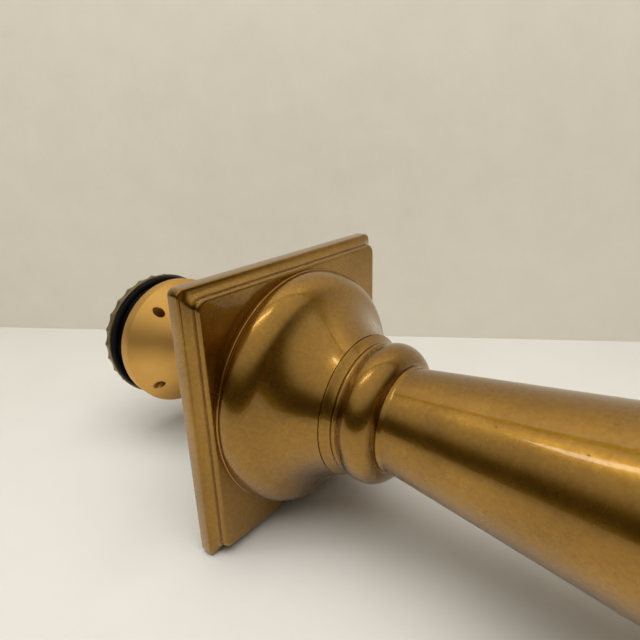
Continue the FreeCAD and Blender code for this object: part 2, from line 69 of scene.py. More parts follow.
def looking(place, aim, up):
    """Matrix of something at a place whose -Z axis looks at the aim, with its +Y towards up."""
    back = (place - aim).normalized()
    right = up.cross(back).normalized()
    turned_up = back.cross(right)
    rows = Matrix((right, turned_up, back)).transposed()
    return Matrix.Translation(place) @ rows.to_4x4()


camera_data = bpy.data.cameras.new("bench_camera")
camera_data.lens = FOCAL_MM
camera_data.sensor_width = SENSOR_MM
camera_data.clip_start = 0.005
camera = bpy.data.objects.new("bench_camera", camera_data)
camera.matrix_world = looking(camera_place, camera_aim, ROOM_UP)
bpy.context.scene.collection.objects.link(camera)
bpy.context.scene.camera = camera
print("camera looks along", (camera_aim - camera_place).normalized())

# %% [markdown]
# ## Node tools
# Every finish is a node tree. Writing each tree link by link is long, so a few small helpers
# make a node, a noise, a colour ramp or a bump. The trees stay ordinary: they can be opened and
# changed in the shader editor afterwards.

# %% Helpers for finishes


def new_finish(name):
    """An empty material with a Principled shader. Returns the material, its tree and the shader."""
    material = bpy.data.materials.new(name)
    material.use_nodes = True
    tree = material.node_tree
    shader = next(node for node in tree.nodes if node.type == "BSDF_PRINCIPLED")
    return material, tree, shader


def add(tree, kind, **settings):
    """Add a node. Settings that name an input set its value, and the others set the node itself."""
    node = tree.nodes.new(kind)
    for name, setting in settings.items():
        socket = name.replace("_", " ").title()
        if hasattr(node, name):
            setattr(node, name, setting)
        elif socket in node.inputs:
            node.inputs[socket].default_value = setting
    return node


def link(tree, source, target):
    """Run a wire from an output to an input."""
    tree.links.new(source, target)
    return target


def noise(tree, coordinates, scale, detail=3.0, roughness=0.5):
    """Cloudy 0 to 1 values. A larger scale makes smaller clouds."""
    node = add(tree, "ShaderNodeTexNoise", scale=scale, detail=detail, roughness=roughness)
    link(tree, coordinates, node.inputs["Vector"])
    return node.outputs["Fac"]


def ramp(tree, value, stops):
    """Colour ramp with (position, colour) stops."""
    node = tree.nodes.new("ShaderNodeValToRGB")
    elements = node.color_ramp.elements
    while len(elements) < len(stops):
        elements.new(0.5)
    for element, (position, colour) in zip(elements, stops):
        element.position = position
        element.color = (*colour, 1.0)
    link(tree, value, node.inputs["Fac"])
    return node.outputs["Color"]


def spread(tree, value, low, high):
    """Map a 0 to 1 value onto low to high."""
    node = tree.nodes.new("ShaderNodeMapRange")
    node.inputs["To Min"].default_value = low
    node.inputs["To Max"].default_value = high
    link(tree, value, node.inputs["Value"])
    return node.outputs["Result"]


def bump(tree, height, distance, strength=1.0, under=None):
    """Turn heights into a normal, on top of another bump where one is given."""
    node = add(tree, "ShaderNodeBump", strength=strength, distance=distance)
    link(tree, height, node.inputs["Height"])
    if under is not None:
        link(tree, under, node.inputs["Normal"])
    return node.outputs["Normal"]


def places(tree):
    """Coordinates in the piece's own metres, so that marks stay put when the piece moves."""
    return tree.nodes.new("ShaderNodeTexCoord").outputs["Object"]


def lathe_marks(tree, coordinates):
    """Coordinates that are the same all the way round the axis: distance from it, and height."""
    parts = tree.nodes.new("ShaderNodeSeparateXYZ")
    link(tree, coordinates, parts.inputs[0])
    flat = tree.nodes.new("ShaderNodeCombineXYZ")
    link(tree, parts.outputs["X"], flat.inputs["X"])
    link(tree, parts.outputs["Y"], flat.inputs["Y"])
    length = add(tree, "ShaderNodeVectorMath", operation="LENGTH")
    link(tree, flat.outputs[0], length.inputs[0])
    rings = tree.nodes.new("ShaderNodeCombineXYZ")
    link(tree, length.outputs["Value"], rings.inputs["X"])
    link(tree, parts.outputs["Z"], rings.inputs["Z"])
    return rings.outputs[0]


# %% [markdown]
# ## Aged brass
# The mouldings are cast, turned, polished, darkened and lacquered. Three things make that finish:
# a golden metal under a brown tint that is uneven, soft reflections from polished metal, and
# sharp reflections from the clear lacquer on top. The tint is a colour ramp on two sizes of
# noise, the lacquer is the shader's coat, and small casting pits are dents in a bump.
# Turned pieces also get very fine rings, from a noise that only knows distance and height.

# %% Mix the aged brass
TINT_DARK = (0.285, 0.148, 0.014)
TINT_MIDDLE = (0.335, 0.178, 0.019)
TINT_LIGHT = (0.385, 0.212, 0.027)


def aged_brass(name, turned, shade=1.0):
    """Darkened, lacquered brass with casting pits, and fine lathe rings where it is turned."""
    material, tree, shader = new_finish(name)
    where = places(tree)
    clouds = noise(tree, where, 16.0, 4.0, 0.55)
    tone = ramp(tree, clouds, [
        (0.30, tuple(shade * channel for channel in TINT_DARK)),
        (0.50, tuple(shade * channel for channel in TINT_MIDDLE)),
        (0.68, tuple(shade * channel for channel in TINT_LIGHT)),
    ])
    speckle = noise(tree, where, 420.0, 3.0, 0.6)
    warm = ramp(tree, speckle, [(0.35, (0.86, 0.80, 0.70)), (0.65, (1.0, 1.0, 1.0))])
    tinted = tree.nodes.new("ShaderNodeMix")
    tinted.data_type = "RGBA"
    tinted.blend_type = "MULTIPLY"
    tinted.inputs["Factor"].default_value = 1.0
    link(tree, tone, tinted.inputs[6])
    link(tree, warm, tinted.inputs[7])
    link(tree, tinted.outputs[2], shader.inputs["Base Color"])
    shader.inputs["Metallic"].default_value = 1.0
    shader.inputs["Coat Weight"].default_value = 0.7
    shader.inputs["Coat Roughness"].default_value = 0.06
    shader.inputs["Coat IOR"].default_value = 1.5
    smudges = noise(tree, where, 38.0, 5.0, 0.65)
    link(tree, spread(tree, smudges, 0.20, 0.34), shader.inputs["Roughness"])

    waves = bump(tree, noise(tree, where, 34.0, 1.0), 0.0012, 0.35)
    pits = add(tree, "ShaderNodeTexVoronoi", feature="F1", scale=95.0, randomness=1.0)
    link(tree, where, pits.inputs["Vector"])
    pit_depth = tree.nodes.new("ShaderNodeMapRange")
    pit_depth.inputs["From Min"].default_value = 0.0
    pit_depth.inputs["From Max"].default_value = 0.055
    link(tree, pits.outputs["Distance"], pit_depth.inputs["Value"])
    normal = bump(tree, pit_depth.outputs["Result"], 0.0004, 0.6, waves)
    if turned:
        rings = noise(tree, lathe_marks(tree, where), 2600.0, 2.0, 0.6)
        normal = bump(tree, rings, 0.00003, 0.35, normal)
    link(tree, normal, shader.inputs["Normal"])
    return material


CAST_BRASS = aged_brass("aged_brass", turned=False)
TURNED_BRASS = aged_brass("aged_brass_turned", turned=True)
print("brass finishes:", CAST_BRASS.name, TURNED_BRASS.name)

# %% [markdown]
# ## The metals and rubber under the deck
# The clamp nut is bright bronze with a satin, lightly blasted surface: no lacquer, higher
# roughness and a grain a fraction of a millimetre across. The lock ring is the same sort of
# metal gone dull and grey-brown. The barrel and stem are steel with black oxide, and the seals
# are matt rubber. Each one keeps its own grain size, because a shared grain looks like paint.

# %% Mix the other finishes
def grained_metal(name, dark, light, roughness, grain, depth, cloud=20.0):
    """Bare metal with cloudy colour and a fine random grain. Roughness is (low, high)."""
    material, tree, shader = new_finish(name)
    where = places(tree)
    clouds = noise(tree, where, cloud, 4.0, 0.6)
    link(tree, ramp(tree, clouds, [(0.3, dark), (0.7, light)]), shader.inputs["Base Color"])
    shader.inputs["Metallic"].default_value = 1.0
    patches = noise(tree, where, cloud * 3.0, 4.0, 0.6)
    link(tree, spread(tree, patches, *roughness), shader.inputs["Roughness"])
    fine = noise(tree, where, grain, 2.0, 0.7)
    link(tree, bump(tree, fine, depth, 0.5), shader.inputs["Normal"])
    return material


SATIN_BRONZE = grained_metal("satin_bronze", (0.63, 0.350, 0.080), (0.75, 0.445, 0.130),
                             (0.38, 0.50), 1900.0, 0.00014)
RING_BRASS = grained_metal("ring_brass", (0.17, 0.135, 0.085), (0.34, 0.27, 0.165),
                           (0.34, 0.55), 1200.0, 0.00008, 60.0)
BLACK_OXIDE = grained_metal("black_oxide", (0.006, 0.006, 0.006), (0.014, 0.013, 0.013),
                            (0.28, 0.45), 1500.0, 0.00006, 50.0)
PLATED_STEEL = grained_metal("plated_steel", (0.42, 0.42, 0.40), (0.58, 0.57, 0.54),
                             (0.22, 0.40), 1400.0, 0.00005, 70.0)
TURNED_ALUMINIUM = grained_metal("turned_aluminium", (0.62, 0.62, 0.63), (0.72, 0.72, 0.73),
                                 (0.25, 0.38), 1100.0, 0.00005)


def matt_rubber(name):
    """Black rubber that barely shines, with dust in its surface."""
    material, tree, shader = new_finish(name)
    where = places(tree)
    dust = noise(tree, where, 90.0, 5.0, 0.7)
    link(tree, ramp(tree, dust, [(0.35, (0.002, 0.002, 0.002)), (0.8, (0.007, 0.007, 0.007))]),
         shader.inputs["Base Color"])
    shader.inputs["Specular IOR Level"].default_value = 0.15
    link(tree, spread(tree, dust, 0.6, 0.85), shader.inputs["Roughness"])
    link(tree, bump(tree, noise(tree, where, 900.0), 0.00005, 0.5), shader.inputs["Normal"])
    return material


RUBBER = matt_rubber("black_rubber")
print("other finishes:", SATIN_BRONZE.name, RING_BRASS.name, BLACK_OXIDE.name, RUBBER.name)

# %% [markdown]
# ## Turning a piece
# Almost every brass part here is a solid of revolution. A lathe cuts it from one outline, and so
# does this function: it takes a half section as (radius, height) corners, where a third number is
# the radius of an arc to the next corner, and spins it round the axis. Every sharp corner is
# rounded over a little first, since a real edge is never sharp and the tiny round catches light.
# A `shape` function may move each point by its angle. That is how threads and scallops are cut.

# %% The lathe
CORNER_SHARP = math.radians(25)


def arc_points(start, end, radius, step=math.radians(5)):
    """Points after start up to end along an arc. A positive radius turns to the left."""
    chord = end - start
    half = chord.length / 2
    reach = math.sqrt(max(radius * radius - half * half, 0.0))
    left = Vector((-chord.y, chord.x)).normalized()
    centre = (start + end) / 2 + left * (reach if radius > 0 else -reach)
    sweep = 2 * math.asin(min(half / abs(radius), 1.0)) * (1 if radius > 0 else -1)
    count = max(3, math.ceil(abs(sweep) / step))
    arm = start - centre
    return [centre + Matrix.Rotation(sweep * index / count, 2) @ arm for index in range(1, count + 1)]


def section(corners, edge):
    """Closed half section in millimetres, with arcs drawn and sharp corners rounded over by edge."""
    corners = [tuple(corner) for corner in corners]
    line = []
    for corner, following in zip(corners, corners[1:] + corners[:1]):
        start, end = Vector(corner[:2]), Vector(following[:2])
        if not line or (line[-1] - start).length > 1e-6:
            line.append(start)
        if len(corner) == 3:
            line.extend(arc_points(start, end, corner[2]))
    if (line[0] - line[-1]).length < 1e-6:
        line.pop()
    soft = []
    for index, point in enumerate(line):
        before, after = line[index - 1], line[(index + 1) % len(line)]
        inward, outward = point - before, after - point
        turn = abs(inward.angle(outward, 0.0))
        reach = min(edge, inward.length * 0.45, outward.length * 0.45)
        if turn < CORNER_SHARP or reach < 0.01 or point.x < 1e-6:
            soft.append(point)
            continue
        first = point - inward.normalized() * reach
        last = point + outward.normalized() * reach
        middle = (first + last) * 0.25 + point * 0.5
        soft.extend([first, middle, last])
    return soft


def filled_mesh(name, rows, poles):
    """Join rings of points into a closed skin. With poles, it starts and ends in single points."""
    mesh = bpy.data.meshes.new(name)
    build = bmesh.new()
    rings = []
    for row in rows:
        if len(row) == 1:
            rings.append([build.verts.new(row[0])] * len(max(rows, key=len)))
        else:
            rings.append([build.verts.new(point) for point in row])
    count = len(max(rows, key=len))
    pairs = list(zip(rings, rings[1:] + rings[:1]))
    for ring, following in (pairs[:-1] if poles else pairs):
        for index in range(count):
            after = (index + 1) % count
            corners = [ring[index], ring[after], following[after], following[index]]
            unique = list(dict.fromkeys(corners))
            if len(unique) >= 3:
                build.faces.new(unique)
    bmesh.ops.recalc_face_normals(build, faces=build.faces)
    build.to_mesh(mesh)
    build.free()
    return mesh


def finish_piece(name, mesh, body, nodes, finish, smooth=40):
    """Shade, place on its body, and hide the CAD nodes it replaces."""
    for polygon in mesh.polygons:
        polygon.use_smooth = True
    mesh.set_sharp_from_angle(angle=math.radians(smooth))
    mesh.materials.append(finish)
    piece = bpy.data.objects.new(name, mesh)
    bpy.context.scene.collection.objects.link(piece)
    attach(piece, body)
    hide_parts(*nodes)
    print(name, "stands for", ", ".join(nodes), "with", len(mesh.polygons), "faces")
    return piece


def turned_mesh(name, corners, edge=0.35, around=144, shape=None):
    """Spin a half section round the axis. A shape function may move each point by its angle."""
    line = section(corners, edge)
    on_axis = [index for index, point in enumerate(line) if point.x < 1e-6]
    if on_axis:
        start = next(index for index in on_axis if line[(index + 1) % len(line)].x > 1e-6)
        line = line[start:] + line[:start]
    rows = []
    for point in line:
        if point.x < 1e-6:
            rows.append([Vector((0, 0, point.y * MM))])
            continue
        row = []
        for index in range(around):
            angle = 2 * math.pi * index / around
            radius, height = shape(point.x, point.y, angle) if shape else (point.x, point.y)
            row.append(Vector((radius * math.cos(angle), radius * math.sin(angle), height)) * MM)
        rows.append(row)
    return filled_mesh(name, rows, poles=bool(on_axis))


# %% [markdown]
# ## Bell, beads and torus
# The foot of the post is a stack of classical mouldings: a bell that swells and then sweeps in,
# two small beads, and a fat half-round torus. They could be one mesh, but on the real post they
# are separate turned rings clamped by a rod, with a fine dark line at each joint. So each one is
# turned on its own, and the rounded corners leave that line between neighbours.

# %% Turn the foot mouldings


def millimetres(node):
    """The lowest height, highest height and outer radius of a CAD node, in millimetres."""
    low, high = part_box(node)
    return low.z / MM, high.z / MM, high.x / MM


bell_low, bell_high, bell_radius = millimetres("bell")
BELL_SHOULDER = 16.4
BELL_SWEEP = 36.8
BELL_TURN = (62.2, 33.0)
BELL_NECK = 41.3
ROD_HOLE = 8.2

bell_mesh = turned_mesh("bell_turned", [
    (60.2, bell_low),
    (bell_radius, bell_low),
    (bell_radius, bell_low + 0.8, 0.8),
    (bell_radius - 0.8, bell_low + 1.6),
    (bell_radius - 1.5, bell_low + 1.6),
    (bell_radius - 1.5, bell_low + 2.2),
    (bell_radius - 0.5, bell_low + 2.8, BELL_SHOULDER),
    (*BELL_TURN, -BELL_SWEEP),
    (BELL_NECK, bell_high),
    (ROD_HOLE, bell_high),
    (ROD_HOLE, bell_high - 6),
    (BELL_NECK - 6, bell_high - 6, BELL_SWEEP),
    (BELL_TURN[0] - 6.5, BELL_TURN[1] - 3.5),
    (60.2, bell_low + 6),
], around=192)
finish_piece("bell_turned", bell_mesh, "post", ["bell"], CAST_BRASS)

bead_low, bead_split, _ = millimetres("lower_bead")
_, bead_high, _ = millimetres("upper_bead")
SPOOL = 23.0
BAND_HOLLOW = 20.0
BEAD_ROUND = 1.62
lower_bead = turned_mesh("lower_bead_turned", [
    (SPOOL, bead_low),
    (BELL_NECK - 0.8, bead_low),
    (BELL_NECK - 0.8, bead_low + 0.2),
    (BELL_NECK - 0.4, bead_low + 0.2),
    (BELL_NECK - 0.4, bead_low + 0.7, -BAND_HOLLOW),
    (BELL_NECK - 3.85, bead_split - 0.1),
    (BELL_NECK - 3.85, bead_split),
    (SPOOL, bead_split),
], edge=0.2)
finish_piece("lower_bead_turned", lower_bead, "post", ["lower_bead"], TURNED_BRASS)
upper_bead = turned_mesh("upper_bead_turned", [
    (SPOOL, bead_split),
    (BELL_NECK - 4.3, bead_split),
    (BELL_NECK - 4.3, bead_split + 0.2, BEAD_ROUND),
    (BELL_NECK - 4.3, bead_high - 0.2),
    (BELL_NECK - 4.3, bead_high),
    (SPOOL, bead_high),
], edge=0.2)
finish_piece("upper_bead_turned", upper_bead, "post", ["upper_bead"], TURNED_BRASS)

torus_low, torus_high, _ = millimetres("torus_collar")
TORUS_ROUND = 12.0
TORUS_CENTRE = (27.7, 74.0)


def torus_reach(height):
    """Radius of the torus at a height."""
    return TORUS_CENTRE[0] + math.sqrt(TORUS_ROUND ** 2 - (height - TORUS_CENTRE[1]) ** 2)


torus = turned_mesh("torus_turned", [
    (SPOOL, torus_low),
    (torus_reach(torus_low), torus_low, TORUS_ROUND),
    (torus_reach(torus_high), torus_high),
    (SPOOL, torus_high),
], edge=0.25)
finish_piece("torus_turned", torus, "post", ["torus_collar"], TURNED_BRASS)

# %% [markdown]
# ## Column and head
# The column is a plain cone that widens upwards, with a small cove where it meets the torus.
# The head is a mushroom that keeps a rope from riding off: a hollow sweep out to a rounded rim,
# with a shallow dome let into its top and a button over the end of the rod.

# %% Turn the column and the head
column_low, column_high, _ = millimetres("column")
COLUMN_FOOT = 29.0
COLUMN_MOUTH = 51.5
COLUMN_WALL = 4.0
column = turned_mesh("column_turned", [
    (COLUMN_FOOT - COLUMN_WALL, column_low),
    (COLUMN_FOOT + 1, column_low),
    (COLUMN_FOOT + 1, column_low + 0.8, -4.0),
    (COLUMN_FOOT + 0.3, column_low + 3),
    (COLUMN_MOUTH, column_high - 2, 1.5),
    (COLUMN_MOUTH - 0.6, column_high),
    (COLUMN_MOUTH - COLUMN_WALL, column_high),
], around=192)
finish_piece("column_turned", column, "post", ["column"], TURNED_BRASS)

_, ring_high, _ = millimetres("head_ring")
head_ring = turned_mesh("head_ring_turned", [
    (ROD_HOLE, column_high),
    (COLUMN_MOUTH - 1, column_high),
    (COLUMN_MOUTH, column_high + 1),
    (COLUMN_MOUTH, column_high + 2, 3.4),
    (COLUMN_MOUTH, ring_high - 2),
    (COLUMN_MOUTH - 1.5, ring_high),
    (ROD_HOLE, ring_high),
], edge=0.3)
finish_piece("head_ring_turned", head_ring, "post", ["head_ring"], TURNED_BRASS)

_, rim_high, _ = millimetres("head")
HEAD_RIM = 88.0
RIM_LOW = rim_high - 8
CROWN = 80.0
CAP_SEAT = 62.0
cap_low, cap_high, _ = millimetres("crown_cap")
head = turned_mesh("head_turned", [
    (ROD_HOLE, ring_high),
    (COLUMN_MOUTH - 3, ring_high),
    (COLUMN_MOUTH - 2, ring_high + 1, -40.0),
    (HEAD_RIM - 4, RIM_LOW - 1),
    (HEAD_RIM - 2, RIM_LOW, 5.0),
    (HEAD_RIM - 2, rim_high),
    (CROWN, rim_high),
    (CROWN, rim_high - 2),
    (CAP_SEAT, rim_high - 2),
    (CAP_SEAT, cap_low),
    (ROD_HOLE, cap_low),
], around=192)
finish_piece("head_turned", head, "post", ["head"], CAST_BRASS)

FINIAL = 13.0
crown = turned_mesh("crown_turned", [
    (ROD_HOLE, cap_high - 5),
    (CAP_SEAT - 18, cap_high - 8),
    (CAP_SEAT - 6, cap_high - 13),
    (CAP_SEAT - 6, cap_low),
    (CAP_SEAT, cap_low),
    (CAP_SEAT, rim_high - 2),
    (CROWN, rim_high - 2),
    (CROWN, rim_high + 1, 150.0),
    (FINIAL, cap_high),
    (ROD_HOLE, cap_high),
], around=192)
finish_piece("crown_turned", crown, "post", ["crown_cap"], CAST_BRASS)

_, finial_high, _ = millimetres("finial")
finial = turned_mesh("finial_turned", [
    (0, cap_high - 1.5),
    (ROD_HOLE - 0.2, cap_high - 1.5),
    (ROD_HOLE - 0.2, cap_high),
    (FINIAL, cap_high),
    (FINIAL, cap_high + 2),
    (FINIAL - 3, cap_high + 3.5),
    (FINIAL - 3, cap_high + 4.5, 10.25),
    (0, finial_high),
], edge=0.3, around=96)
finish_piece("finial_turned", finial, "post", ["finial"], TURNED_BRASS)

# %% [markdown]
# ## The moulded base
# The base is square, so it can't be turned. A sweep of one profile round a square would mitre it,
# but the real casting has softly rounded corners that differ from the rim to the raised panel.
# Here the plate is a stack of rings: each ring is a rounded square with its own half width,
# corner radius and height, or a circle, and neighbouring rings are joined with faces.

# %% Build the base plate
plate_low, panel_high, plate_half = millimetres("base_plate")
PLATE_SIDE = 7.8
PANEL_HALF = 74.6
PANEL_FIELD = 73.2
RIM_CORNER = 4.0
PANEL_CORNER = 5.5
CORNER_STEPS = 10
SIDE_STEPS = 14


def rounded_square(half, corner, height):
    """Ring of points round a square with rounded corners."""
    ring = []
    for quarter in range(4):
        turn = Matrix.Rotation(math.pi / 2 * quarter, 2)
        for index in range(SIDE_STEPS):
            along = (half - corner) * (2 * index / SIDE_STEPS - 1)
            ring.append(turn @ Vector((half, along)))
        for index in range(CORNER_STEPS):
            angle = math.pi / 2 * index / CORNER_STEPS
            offset = Vector((math.cos(angle), math.sin(angle))) * corner
            ring.append(turn @ (Vector((half - corner, half - corner)) + offset))
    return [Vector((point.x, point.y, height)) * MM for point in ring]


def round_ring(radius, height):
    """Ring of as many points on a circle, each in line with its point on the square."""
    return [
        Vector((point.x, point.y, 0)).normalized() * radius * MM + Vector((0, 0, height)) * MM
        for point in rounded_square(plate_half, RIM_CORNER, height)
    ]


def moulding():
    """Half width, corner and height of each ring from the deck up to the flat panel."""
    cove_start = Vector((plate_half - 1, PLATE_SIDE))
    cove_end = Vector((PANEL_HALF + 0.4, panel_high - 4))
    bead_start = Vector((PANEL_HALF, panel_high - 2))
    bead_end = Vector((PANEL_FIELD, panel_high))
    line = [Vector((plate_half - 0.5, plate_low)), Vector((plate_half - 0.1, plate_low + 0.15))]
    line.append(Vector((plate_half, plate_low + 0.5)))
    line.append(Vector((plate_half, PLATE_SIDE - 1)))
    line.extend(arc_points(line[-1], cove_start, 1.0, math.radians(20)))
    line.extend(arc_points(cove_start, cove_end, -6.0, math.radians(6)))
    line.append(Vector((PANEL_HALF + 0.15, panel_high - 4.05)))
    line.append(Vector((PANEL_HALF, panel_high - 3.8)))
    line.append(bead_start)
    line.extend(arc_points(bead_start, bead_end, 1.8, math.radians(12)))
    rings = []
    for point in line:
        inward = (plate_half - point.x) / (plate_half - PANEL_FIELD)
        rings.append((point.x, RIM_CORNER + (PANEL_CORNER - RIM_CORNER) * inward, point.y))
    return rings


_, seal_high, seal_outer = millimetres("deck_gasket")
SEAL_INNER = 40.0
STEM_HOLE = 15.3
plate_rows = [rounded_square(*ring) for ring in moulding()]
plate_rows.append(rounded_square(PANEL_FIELD - 0.5, PANEL_CORNER, panel_high))
plate_rows.append(round_ring(bell_radius - 0.6, panel_high))
plate_rows.append(round_ring(STEM_HOLE, panel_high))
plate_rows.append(round_ring(STEM_HOLE, plate_low))
plate_rows.append(round_ring(SEAL_INNER, plate_low))
plate_rows.append(round_ring(SEAL_INNER, seal_high))
plate_rows.append(round_ring(seal_outer, seal_high))
plate_rows.append(round_ring(seal_outer, plate_low))
plate_mesh = filled_mesh("base_plate_cast", plate_rows, poles=False)


def bored(mesh, drills):
    """Cut closed drill meshes out of a mesh with the Boolean modifier, and return the result."""
    work = bpy.data.objects.new("work", mesh)
    bpy.context.scene.collection.objects.link(work)
    for shape in drills:
        drill = bpy.data.objects.new("drill", shape)
        bpy.context.scene.collection.objects.link(drill)
        drilling = work.modifiers.new("drill", "BOOLEAN")
        drilling.object = drill
        drilling.solver = "EXACT"
    bpy.context.view_layer.update()
    result = bpy.data.meshes.new_from_object(work.evaluated_get(bpy.context.evaluated_depsgraph_get()))
    for leftover in [work] + [m.object for m in work.modifiers]:
        bpy.data.objects.remove(leftover)
    return result


def drill_mesh(radius, low, high, place, direction=Vector((0, 0, 1)), around=40):
    """A round cutter along a direction, from low to high on it, in millimetres."""
    rows = [[Vector((0, 0, low)) * MM]]
    for height in (low, high):
        rows.append([
            Vector((radius * math.cos(angle), radius * math.sin(angle), height)) * MM
            for angle in [2 * math.pi * index / around for index in range(around)]
        ])
    rows.append([Vector((0, 0, high)) * MM])
    mesh = filled_mesh("drill", rows, poles=True)
    turn = direction.to_track_quat("Z", "Y").to_matrix().to_4x4()
    mesh.transform(Matrix.Translation(Vector(place) * MM) @ turn)
    return mesh


FOOT_CIRCLE = 66.5
SCREW_HEAD = 5.5
DOWEL = 3.0
screw_drills = []
for index in range(4):
    angle = math.radians(45 + 90 * index)
    place = (FOOT_CIRCLE * math.cos(angle), FOOT_CIRCLE * math.sin(angle), 0)
    screw_drills.append(drill_mesh(SCREW_HEAD, -1.0, 4.0, place))
for side in (1, -1):
    screw_drills.append(drill_mesh(DOWEL, -1.0, 8.0, (FOOT_CIRCLE * side, 0, 0)))
plate_mesh = bored(plate_mesh, screw_drills)
finish_piece("base_plate_cast", plate_mesh, "post", ["base_plate"], CAST_BRASS, smooth=30)

# %% [markdown]
# ## Threads
# A screw thread is a ridge that climbs one pitch in each turn. It can be swept along a helix, but
# a sweep is slow to join to its rod. Since the lathe can move each point by its angle, the thread
# is simply a radius that rises and falls with height, shifted by the angle. It fades out near
# both ends, where a real thread is chamfered and runs out.

# %% Cut the barrel's thread and the stem's thread
PITCH = 3.0
THREAD_ROWS = 8


def thread(major, depth, low, high):
    """Shape function for a round-rooted thread between two heights on one radius."""
    def cut(radius, height, angle):
        if abs(radius - major) > 0.01 or height < low or height > high:
            return radius, height
        phase = height / PITCH - angle / (2 * math.pi)
        wave = 0.5 - 0.5 * math.cos(2 * math.pi * phase)
        fade = min(1.0, (height - low) / PITCH, (high - height) / PITCH)
        return radius - depth * min(1.0, 1.35 * wave) * fade, height
    return cut


def threaded_side(radius, low, high):
    """Closely spaced corners up the side of a thread."""
    count = round((high - low) / PITCH * THREAD_ROWS)
    return [(radius, low + (high - low) * index / count) for index in range(count + 1)]


barrel_low, barrel_high, barrel_radius = millimetres("barrel")
stem_low, stem_high, _ = millimetres("stem")
nut_low, nut_high, nut_radius = millimetres("clamp_cone")
BARREL_BORE = 36.0
BARREL_FLANGE = barrel_high - 4.0
STEM_RADIUS = 15.0
barrel_mesh = turned_mesh("barrel_threaded", [
    (STEM_RADIUS + 7, barrel_high),
    (barrel_radius, barrel_high),
    *reversed(threaded_side(barrel_radius, barrel_low + 1, nut_low)),
    (barrel_radius - 1, barrel_low),
    (BARREL_BORE, barrel_low),
    (BARREL_BORE, BARREL_FLANGE),
    (STEM_RADIUS + 7, BARREL_FLANGE),
], edge=0.2, around=160, shape=thread(barrel_radius, 0.9, barrel_low + 1, nut_low))
finish_piece("barrel_threaded", barrel_mesh, "clamp_nut", ["barrel"], BLACK_OXIDE)

THREAD_TOP = -12.0
GROOVE_LOW = stem_low + 5.8
GROOVE_HIGH = stem_low + 7.4
ROD = 8.0
FLANGE_RADIUS = 30.0
FLANGE_LOW = 9.0
stem_mesh = turned_mesh("stem_threaded", [
    (0, stem_low),
    (STEM_RADIUS - 1.5, stem_low),
    (STEM_RADIUS, stem_low + 1.5),
    (STEM_RADIUS, GROOVE_LOW),
    (STEM_RADIUS - 1, GROOVE_LOW),
    (STEM_RADIUS - 1, GROOVE_HIGH),
    *threaded_side(STEM_RADIUS, GROOVE_HIGH, THREAD_TOP),
    (STEM_RADIUS, FLANGE_LOW),
    (FLANGE_RADIUS, FLANGE_LOW),
    (FLANGE_RADIUS, panel_high),
    (ROD + 3, panel_high),
    (ROD, panel_high + 3),
    (ROD, stem_high),
    (0, stem_high),
], edge=0.2, around=80, shape=thread(STEM_RADIUS, 0.9, GROOVE_HIGH, THREAD_TOP))
finish_piece("stem_threaded", stem_mesh, "post", ["stem"], BLACK_OXIDE)

# %% [markdown]
# ## Clamp nut, rubber and lock ring
# The nut is a low cone with four holes for a pin spanner, each with a slotted locking screw deep
# inside. It is turned, then drilled with the Boolean modifier. The lock ring has a plain front
# rim and finger scallops behind it: the lathe pulls the rim in where each scallop is.

# %% Turn and drill the clamp nut
CREASE = -108.5
THREAD_GAP = 0.05
NUT_RIM = 46.4
NUT_LAND = 19.7
FIRST_HOLE = 36.3
HOLE_HEIGHT = -100.45
HOLE_RADIUS = 3.25
HOLE_FLOOR = 31.0
TAPPED = 3.0
cone_mesh = turned_mesh("clamp_cone_turned", [
    (STEM_RADIUS + THREAD_GAP, barrel_high),
    (barrel_radius, barrel_high),
    (barrel_radius, nut_low),
    (NUT_RIM - 0.4, nut_low),
    (NUT_RIM, nut_low + 0.4),
    (nut_radius, CREASE),
    (NUT_LAND, nut_high),
    (STEM_RADIUS + THREAD_GAP, nut_high),
], edge=0.3, around=192)
hole_drills = []
for index in range(4):
    angle = math.radians(FIRST_HOLE + 90 * index)
    outward = Vector((math.cos(angle), math.sin(angle), 0))
    hole_drills.append(drill_mesh(HOLE_RADIUS, HOLE_FLOOR, 50.0, (0, 0, HOLE_HEIGHT), outward))
    hole_drills.append(drill_mesh(TAPPED, 14.0, HOLE_FLOOR + 1, (0, 0, HOLE_HEIGHT), outward))
cone_mesh = bored(cone_mesh, hole_drills)
finish_piece("clamp_cone_turned", cone_mesh, "clamp_nut", ["clamp_cone"], SATIN_BRONZE, 32)

# %% Turn the rubber ring and scallop the lock ring
rubber_low, rubber_high, rubber_radius = millimetres("rubber_ring")
rubber_mesh = turned_mesh("rubber_turned", [
    (barrel_radius + 0.3, rubber_low),
    (rubber_radius, rubber_low),
    (rubber_radius, rubber_high - 0.5),
    (rubber_radius - 0.5, rubber_high),
    (barrel_radius + 0.3, rubber_high),
], edge=0.5)
finish_piece("rubber_turned", rubber_mesh, "ring_carrier", ["rubber_ring"], RUBBER)

lock_low, lock_high, front_rim = millimetres("lock_ring")
SCALLOPS = 26
FIRST_SCALLOP = math.radians(0.4)
SCALLOP_DEPTH = 1.6
CREST = front_rim - 0.2
RIM_ROOT = front_rim - 2.4
RIM_BACK = lock_high - 1.6


def scalloped(radius, height, angle):
    """Pull the crest in where a finger scallop is, leaving narrow crests between wide hollows."""
    if radius < RIM_ROOT + 0.1 or height > RIM_BACK + 0.01:
        return radius, height
    along = ((angle - FIRST_SCALLOP) * SCALLOPS / (2 * math.pi) + 0.5) % 1.0 - 0.5
    hollow = math.cos(math.pi * along) ** 0.75
    return radius - SCALLOP_DEPTH * hollow, height


